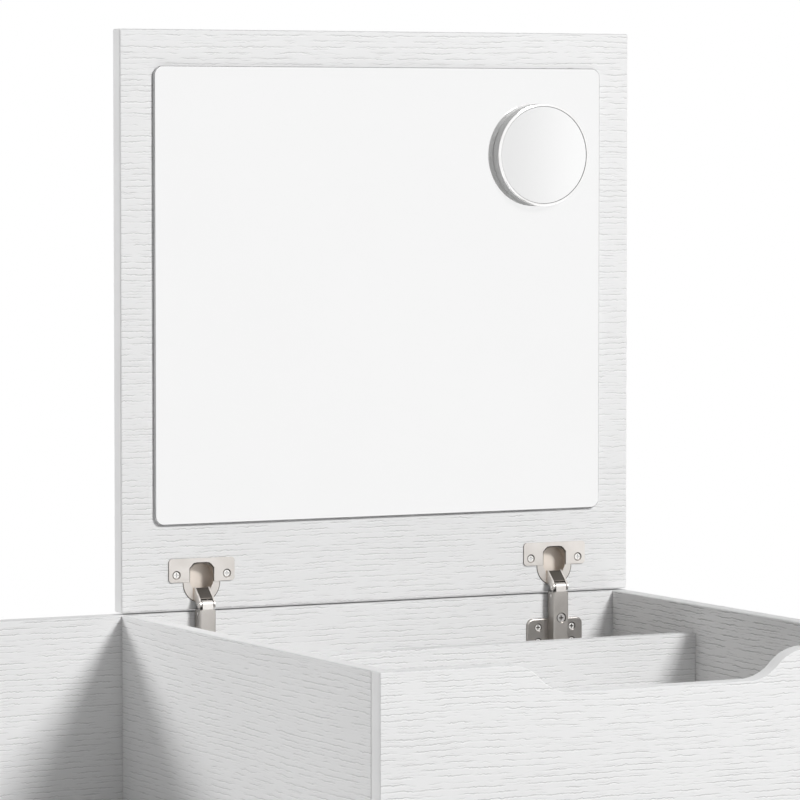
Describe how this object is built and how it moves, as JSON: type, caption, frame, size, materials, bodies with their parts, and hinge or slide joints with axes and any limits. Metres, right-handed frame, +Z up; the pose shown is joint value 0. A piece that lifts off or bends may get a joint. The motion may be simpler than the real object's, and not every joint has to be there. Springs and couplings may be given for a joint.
{
  "type": "flip-top vanity table",
  "caption": "White vanity table: a tray box with a lid that flips up on cup hinges and carries a mirror and a small round mirror, beside a lower two-drawer cabinet.",
  "frame": {"origin": "on the floor under the middle of the table's width and depth", "axes": "+Z up, +Y to the wall behind the table, -Y to the person at it, +X to the vanity box's side"},
  "size_m": [0.9, 0.5, 1.2516],
  "materials": {
    "white_board": "white foil embossed with a fine wood grain, satin",
    "hardboard": "painted hardboard",
    "dowel_wood": "bare beech",
    "glide_plastic": "moulded",
    "dark_zinc": "cast zinc",
    "zinc": "bright zinc plate",
    "nickel": "satin nickel plate",
    "dark_nickel": "satin nickel plate",
    "runner_steel": "zinc-plated steel",
    "mirror": "silvered glass",
    "mirror_backing": "adhesive foam sheet",
    "grip_foam": "soft grip pad",
    "light_grey_plastic": "moulded, satin",
    "grey_plastic": "moulded, satin",
    "white_rim": "gloss"
  },
  "bodies": {
    "table": {"back_panel": "white_board", "left_side_panel": "white_board", "middle_side_panel": "white_board", "right_side_panel": "white_board", "vanity_front_panel": "white_board", "tray_bottom": "white_board", "tray_divider": "white_board", "cabinet_top": "white_board", "cabinet_bottom": "white_board", "cabinet_back": "hardboard", "plinth_board": "white_board", "knee_rail": "white_board", "glides": "glide_plastic", "dowels": "dowel_wood", "cam_locks": "dark_zinc", "cam_bolts": "zinc", "hinge_plate_left": "dark_nickel", "hinge_plate_right": "dark_nickel", "hinge_plate_screws": "zinc", "hinge_arm_left": "nickel", "hinge_arm_right": "nickel", "arm_fixing_screws": "zinc", "hinge_arm_pins": "zinc", "cabinet_runners": "runner_steel", "cabinet_runner_screws": "zinc", "back_panel_pins": "zinc"},
    "inner_links": {"inner_link_left": "dark_nickel", "inner_link_right": "dark_nickel"},
    "outer_links": {"outer_link_left": "nickel", "outer_link_right": "nickel"},
    "lid": {"lid_panel": "white_board", "hinge_cup_left": "nickel", "hinge_cup_right": "nickel", "hinge_cup_screws": "zinc", "hinge_cup_pins": "zinc", "mirror_backing": "mirror_backing", "mirror_glass": "mirror"},
    "round_mirror": {"round_mirror_grip": "grip_foam", "round_mirror_base": "light_grey_plastic", "round_mirror_housing": "grey_plastic", "round_mirror_rim": "white_rim", "round_mirror_glass": "mirror"},
    "upper_drawer": {"upper_drawer_front": "white_board", "upper_drawer_sides": "white_board", "upper_drawer_ends": "white_board", "upper_drawer_bottom": "white_board", "upper_drawer_runners": "runner_steel", "upper_drawer_screws": "zinc"},
    "lower_drawer": {"lower_drawer_front": "white_board", "lower_drawer_sides": "white_board", "lower_drawer_ends": "white_board", "lower_drawer_bottom": "white_board", "lower_drawer_runners": "runner_steel", "lower_drawer_screws": "zinc"},
    "upper_middle": {"upper_middle_runners": "runner_steel"},
    "lower_middle": {"lower_middle_runners": "runner_steel"}
  },
  "joints": [
    {"name": "inner_link_swing", "type": "hinge", "parent": "table", "child": "inner_links", "pos_m": [0.2, 0.226, 0.749], "axis": [1, 0, 0], "range_deg": [-22, 2]},
    {"name": "lid_swing", "type": "hinge", "parent": "inner_links", "child": "lid", "pos_m": [0.2, 0.23809, 0.7608], "axis": [1, 0, 0], "range_deg": [-6.21, 111.71]},
    {"name": "outer_link_swing", "type": "hinge", "parent": "table", "child": "outer_links", "pos_m": [0.2, 0.225, 0.757], "axis": [1, 0, 0], "range_deg": [-32, 2]},
    {"name": "round_mirror_pull", "type": "slide", "parent": "lid", "child": "round_mirror", "axis": [0, -1, 0], "range_m": [0, 0.06]},
    {"name": "upper_drawer_slide", "type": "slide", "parent": "table", "child": "upper_drawer", "axis": [0, -1, 0], "range_m": [0, 0.35]},
    {"name": "upper_runner_slide", "type": "slide", "parent": "table", "child": "upper_middle", "axis": [0, -1, 0], "range_m": [0, 0.176]},
    {"name": "lower_drawer_slide", "type": "slide", "parent": "table", "child": "lower_drawer", "axis": [0, -1, 0], "range_m": [0, 0.35]},
    {"name": "lower_runner_slide", "type": "slide", "parent": "table", "child": "lower_middle", "axis": [0, -1, 0], "range_m": [0, 0.176]}
  ],
  "couplings": [
    {"joint": "inner_link_swing", "follows": "lid_swing", "ratio": -0.19435},
    {"joint": "outer_link_swing", "follows": "lid_swing", "ratio": -0.28082},
    {"joint": "upper_runner_slide", "follows": "upper_drawer_slide", "ratio": 0.5},
    {"joint": "lower_runner_slide", "follows": "lower_drawer_slide", "ratio": 0.5}
  ]
}
